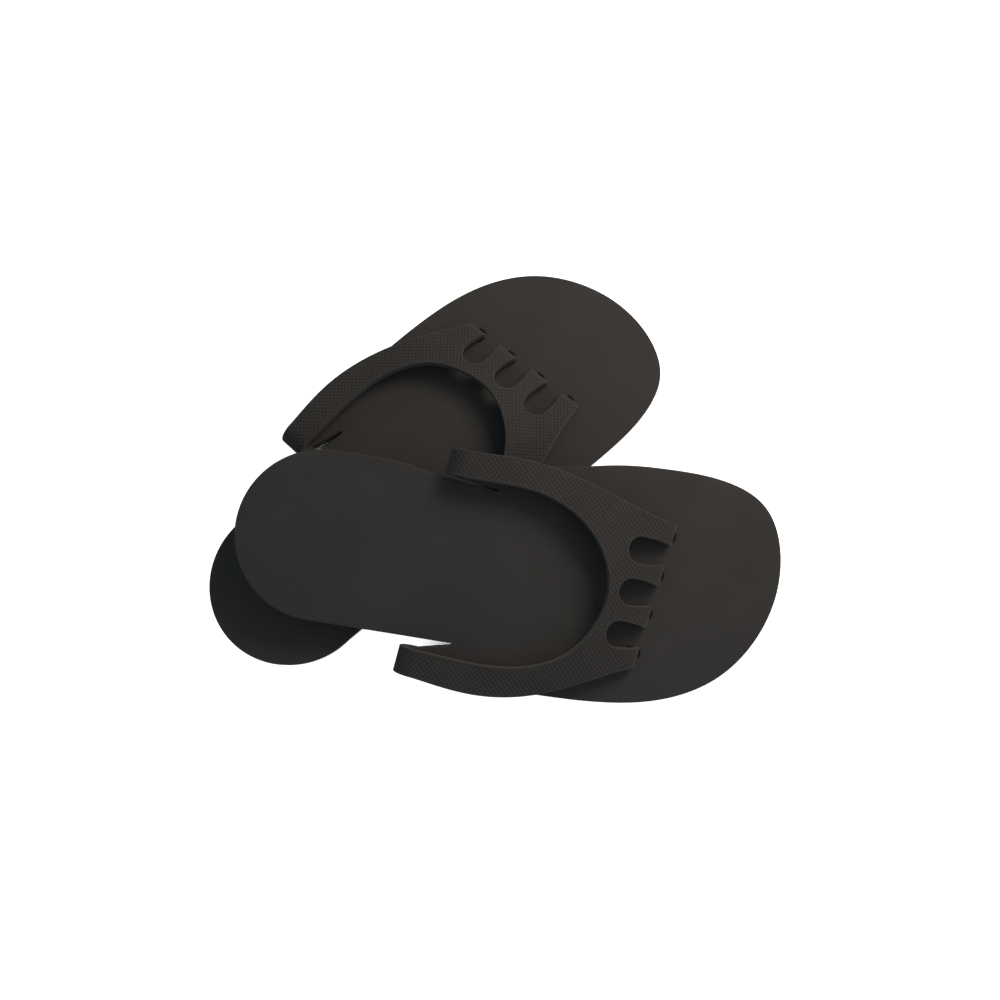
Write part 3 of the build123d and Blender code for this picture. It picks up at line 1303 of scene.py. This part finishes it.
@dataclass(frozen=True)
class Placement:
    """How one slipper lies.

    Attributes:
        side: Which slipper it is.
        yaw: The way its toes point, in degrees from the frame's X axis.
        pitch: How far its toes dip, in degrees.
        roll: How far its big toe side is raised, in degrees.
    """

    side: Side
    yaw: float
    pitch: float = 0.0
    roll: float = 0.0

    def turn(self) -> np.ndarray:
        """The rotation from the slipper's own frame, as it is for a right slipper."""
        yaw, pitch, roll = (math.radians(a) for a in (self.yaw, self.pitch, self.roll))
        across = np.array([-math.sin(yaw), math.cos(yaw), 0.0])
        level = np.array([math.cos(yaw), math.sin(yaw), 0.0])
        forward = level * math.cos(pitch) - np.array([0, 0, math.sin(pitch)])
        up = np.cross(forward, across)
        side = across * math.cos(roll) + up * math.sin(roll)
        return np.stack([forward, side, np.cross(forward, side)], 1)

    def placed(self, points: Points, middle: Points, hinge: Points) -> Points:
        """Carries points into the frame.

        Args:
            points: In the slipper's own frame, in millimetres.
            middle: The middle of its hinge line there.
            hinge: Where the frame has that middle, in metres.

        Returns:
            The points in the frame, in metres.
        """
        mirror = np.array([1.0, -1.0 if self.side is Side.LEFT else 1.0, 1.0])
        return ((points - middle) * mirror) @ self.turn().T * METRES + hinge


@dataclass
class PieceMaker:
    """Turns solids into dressed pieces of one slipper.

    Attributes:
        placement: How the slipper lies.
        middle: The middle of its hinge line in its own frame, in millimetres.
        hinge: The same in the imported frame, in metres.
        materials: One for each kind of surface.
        sharp: The angle between two faces, in degrees, from which their edge stays crisp.
    """

    placement: Placement
    middle: Points
    hinge: Points
    materials: list[bpy.types.Material]
    sharp: float = 60.0

    def piece(self, name: str, solid: Solid, node: str, slot: str) -> bpy.types.Object:
        """Makes a piece that stands for a CAD node.

        Args:
            name: The piece's name, without the slipper's side.
            solid: Its shape in the slipper's own frame.
            node: The CAD node, without the slipper's side.
            slot: The record's material slot; not used.

        Returns:
            The piece, which doesn't ride on anything yet.
        """
        side = self.placement.side.value
        faces = solid.faces
        if self.placement.side is Side.LEFT:
            faces = [face[::-1] for face in faces]
        mesh = bpy.data.meshes.new(f"{side}_{name}")
        points = self.placement.placed(solid.points, self.middle, self.hinge)
        mesh.from_pydata(points.tolist(), [], faces)
        for material in self.materials:
            mesh.materials.append(material)
        mesh.polygons.foreach_set("material_index", solid.surfaces)
        for title, values in (("from_edge", solid.inside), ("relief", solid.relief)):
            stored = mesh.attributes.new(title, "FLOAT", "POINT")
            stored.data.foreach_set("value", values.astype(np.float32))
        mesh.shade_smooth()
        mesh.set_sharp_from_angle(angle=math.radians(self.sharp))
        mesh.update()
        made = bpy.data.objects.new(f"{side}_{name}", mesh)
        bpy.context.scene.collection.objects.link(made)
        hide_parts(f"{side}_{node}")
        LOG.info("%s: %d points, %d faces", made.name, len(points), len(faces))
        return made

    def up(self, height: float) -> Vector:
        """The point this high above the sole's underside over the hinge line's middle, in metres."""
        point = np.array([[self.middle[0], self.middle[1], height]])
        return Vector(self.placement.placed(point, self.middle, self.hinge)[0])


@dataclass
class Slipper:
    """One whole slipper, built from the shapes that both slippers share.

    Attributes:
        maker: Makes its pieces.
        bend_from: The height above the underside where a fold would start to follow the strap; not
            used.
        bend_to: The height from which it would follow the strap wholly; not used.
    """

    maker: PieceMaker
    bend_from: float = 4.0
    bend_to: float = 14.0

    def build(self, shapes: dict[str, Solid]) -> None:
        """Builds every piece, and puts the sole and the strap on their bodies."""
        side = self.maker.placement.side.value
        sole_body, strap_body = f"{side}_sole", f"{side}_strap"
        sole = self.maker.piece("sole_sheet", shapes["sole"], "sole", "sole_foam")
        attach(sole, sole_body)
        strap = self.maker.piece("toe_strap", shapes["strap"], "strap", "strap_foam")
        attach(strap, strap_body)
        start, end = self.maker.up(self.bend_from), self.maker.up(self.bend_to)
        for name in ("outer_fold", "inner_fold"):
            fold = self.maker.piece(f"{name}_bend", shapes[name], name, "strap_foam")
            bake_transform(fold)


# ---------------------------------------------------------------------------------------------
# The studio
# ---------------------------------------------------------------------------------------------


@dataclass(frozen=True)
class Lamp:
    """A round soft lamp that points at the pair.

    Attributes:
        name: What it is called.
        place: Where it stands, from the point that the camera looks at, in metres.
        size: How wide it is.
        power: Its power in watts.
        colour: The colour of its light.
    """

    name: str
    place: tuple[float, float, float]
    size: float
    power: float
    colour: Shade


@dataclass(frozen=True)
class Studio:
    """A white table, two lamps, a cool even fill and the camera over the pair.

    Attributes:
        aim: What the camera looks at, in metres.
        elevation: How steeply it looks down, in degrees.
        distance: How far it is from there.
        lens: Its focal length, in millimetres.
        lamps: The warm main lamp over the toes, and a broad weak one beside them.
        fill: The strength of the even light from all round.
        fill_colour: The colour of that light.
        table: How much of the light the table gives back.
        table_reach: How far the table goes to each side, in metres.
        gap_painted_shade: The grey of the painted shade that darkens the table deep in a narrow gap.
        gap_depth: How near the walls that shade a gap are, in metres.
        gap_shade: How open a place on the table is where its painted shade is darkest, and where it is
            white.
    """

    aim: tuple[float, float, float] = (0.0032, -0.0102, 0.0)
    elevation: float = 79.0
    distance: float = 0.45
    lens: float = 31.02
    lamps: tuple[Lamp, ...] = (
        Lamp("main_lamp", (0.29, 0.28, 0.41), 0.28, 2.3, (1.0, 0.855, 0.7)),
        Lamp("side_lamp", (0.55, -0.1, 0.45), 0.8, 0.9, (1.0, 0.84, 0.88)),
    )
    fill: float = 0.42
    fill_colour: Shade = (0.76, 0.9, 1.0)
    table: float = 0.85
    table_reach: float = 6.0
    gap_painted_shade: float = 0.04
    gap_depth: float = 0.02
    gap_shade: tuple[float, float] = (0.38, 0.5)

    def build(self) -> None:
        """Sets up the table, the light and the camera."""
        bpy.context.scene.view_settings.view_transform = "Standard"
        self.build_table()
        for lamp in self.lamps:
            self.build_lamp(lamp)
        self.build_fill()
        self.build_camera()

    def build_table(self) -> None:
        """Lays the wide white table, evenly white to the camera but with painted shade in narrow gaps.
        """
        mesh = bpy.data.meshes.new("table_top")
        reach = self.table_reach
        corners = [(x * reach, y * reach, 0.0) for x, y in ((-1, -1), (1, -1), (1, 1), (-1, 1))]
        mesh.from_pydata(corners, [], [(0, 1, 2, 3)])
        top = bpy.data.objects.new("table_top", mesh)
        bpy.context.scene.collection.objects.link(top)
        made = bpy.data.materials.new("White table")
        made.use_nodes = True
        made.node_tree.nodes.clear()
        wiring = Wiring(made.node_tree)
        watched = wiring.node("LightPath").outputs["Is Camera Ray"]
        sky = wiring.node("AmbientOcclusion", {"Distance": self.gap_depth}, samples=8).outputs["AO"]
        # Painted shade: where ambient occlusion finds a narrow gap, the table's colour goes to the
        # gap_painted_shade grey and its glow goes out
        in_the_open = wiring.ramp(sky, *self.gap_shade)
        tone = wiring.mixed(in_the_open, grey(self.gap_painted_shade), grey(self.table))
        glow = wiring.math("MULTIPLY", watched, in_the_open)
        looks = {"Base Color": tone, "Roughness": 0.9, "Specular IOR Level": 0.1}
        glows = {"Emission Color": grey(1.0), "Emission Strength": glow}
        shader = wiring.node("BsdfPrincipled", looks | glows)
        wiring.node("OutputMaterial", {"Surface": shader.outputs["BSDF"]})
        mesh.materials.append(made)

    def build_lamp(self, lamp: Lamp) -> None:
        """Hangs one lamp."""
        light = bpy.data.lights.new(lamp.name, "AREA")
        light.shape = "DISK"
        light.size = lamp.size
        light.energy = lamp.power
        light.color = lamp.colour
        made = bpy.data.objects.new(lamp.name, light)
        bpy.context.scene.collection.objects.link(made)
        made.location = Vector(self.aim) + Vector(lamp.place)
        made.rotation_euler = (-Vector(lamp.place)).to_track_quat("-Z", "Y").to_euler()

    def build_fill(self) -> None:
        """Surrounds the table with an even light."""
        world = bpy.data.worlds.new("even_fill")
        bpy.context.scene.world = world
        world.use_nodes = True
        world.node_tree.nodes.clear()
        wiring = Wiring(world.node_tree)
        watched = wiring.node("LightPath").outputs["Is Camera Ray"]
        cool = {"Color": opaque(self.fill_colour), "Strength": self.fill}
        soft = wiring.node("Background", cool).outputs[0]
        white = wiring.node("Background", {"Color": grey(1.0), "Strength": 1.0}).outputs[0]
        seen = wiring.node("MixShader", {0: watched, 1: soft, 2: white})
        wiring.node("OutputWorld", {"Surface": seen.outputs[0]})

    def build_camera(self) -> None:
        """Puts the camera over the pair."""
        data = bpy.data.cameras.new("overhead_camera")
        data.sensor_width = 36.0
        data.lens = self.lens
        data.clip_start = 0.01
        camera = bpy.data.objects.new("overhead_camera", data)
        bpy.context.scene.collection.objects.link(camera)
        angle = math.radians(self.elevation)
        away = Vector((0, -math.cos(angle), math.sin(angle)))
        camera.location = Vector(self.aim) + away * self.distance
        camera.rotation_euler = (-away).to_track_quat("-Z", "Y").to_euler()
        bpy.context.scene.camera = camera


def main() -> None:
    """Builds the pair and the studio."""
    logging.basicConfig(level=logging.INFO, format="%(name)s: %(message)s")
    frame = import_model()
    hinges = {j["name"]: np.array(j["pos_m"]) for j in frame["joints"] if j["type"] == "hinge"}
    shape = SlipperShape()
    shapes = {"sole": SoleShape(shape).solid(), "strap": StrapShape(shape).solid()}
    shapes |= {fold.name: FoldShape(shape, fold).solid() for fold in shape.folds()}
    LOG.info("shapes drawn")
    bench = FinishBench(FoamCells(), HandlingMarks(), RimScuffsAndHighlight())
    materials = [bench.material(finish) for finish in (SMOOTH_SKIN, EMBOSSED_FACE, CUT_FACE)]
    for placement in (
        Placement(Side.LEFT, yaw=44.4),
        Placement(Side.RIGHT, yaw=-10.2, pitch=5.8, roll=8.0),
    ):
        hinge = hinges[f"{placement.side.value}_strap_fold"]
        Slipper(PieceMaker(placement, shape.hinge_middle(), hinge, materials)).build(shapes)
    Studio().build()


if __name__ == "__main__":
    main()
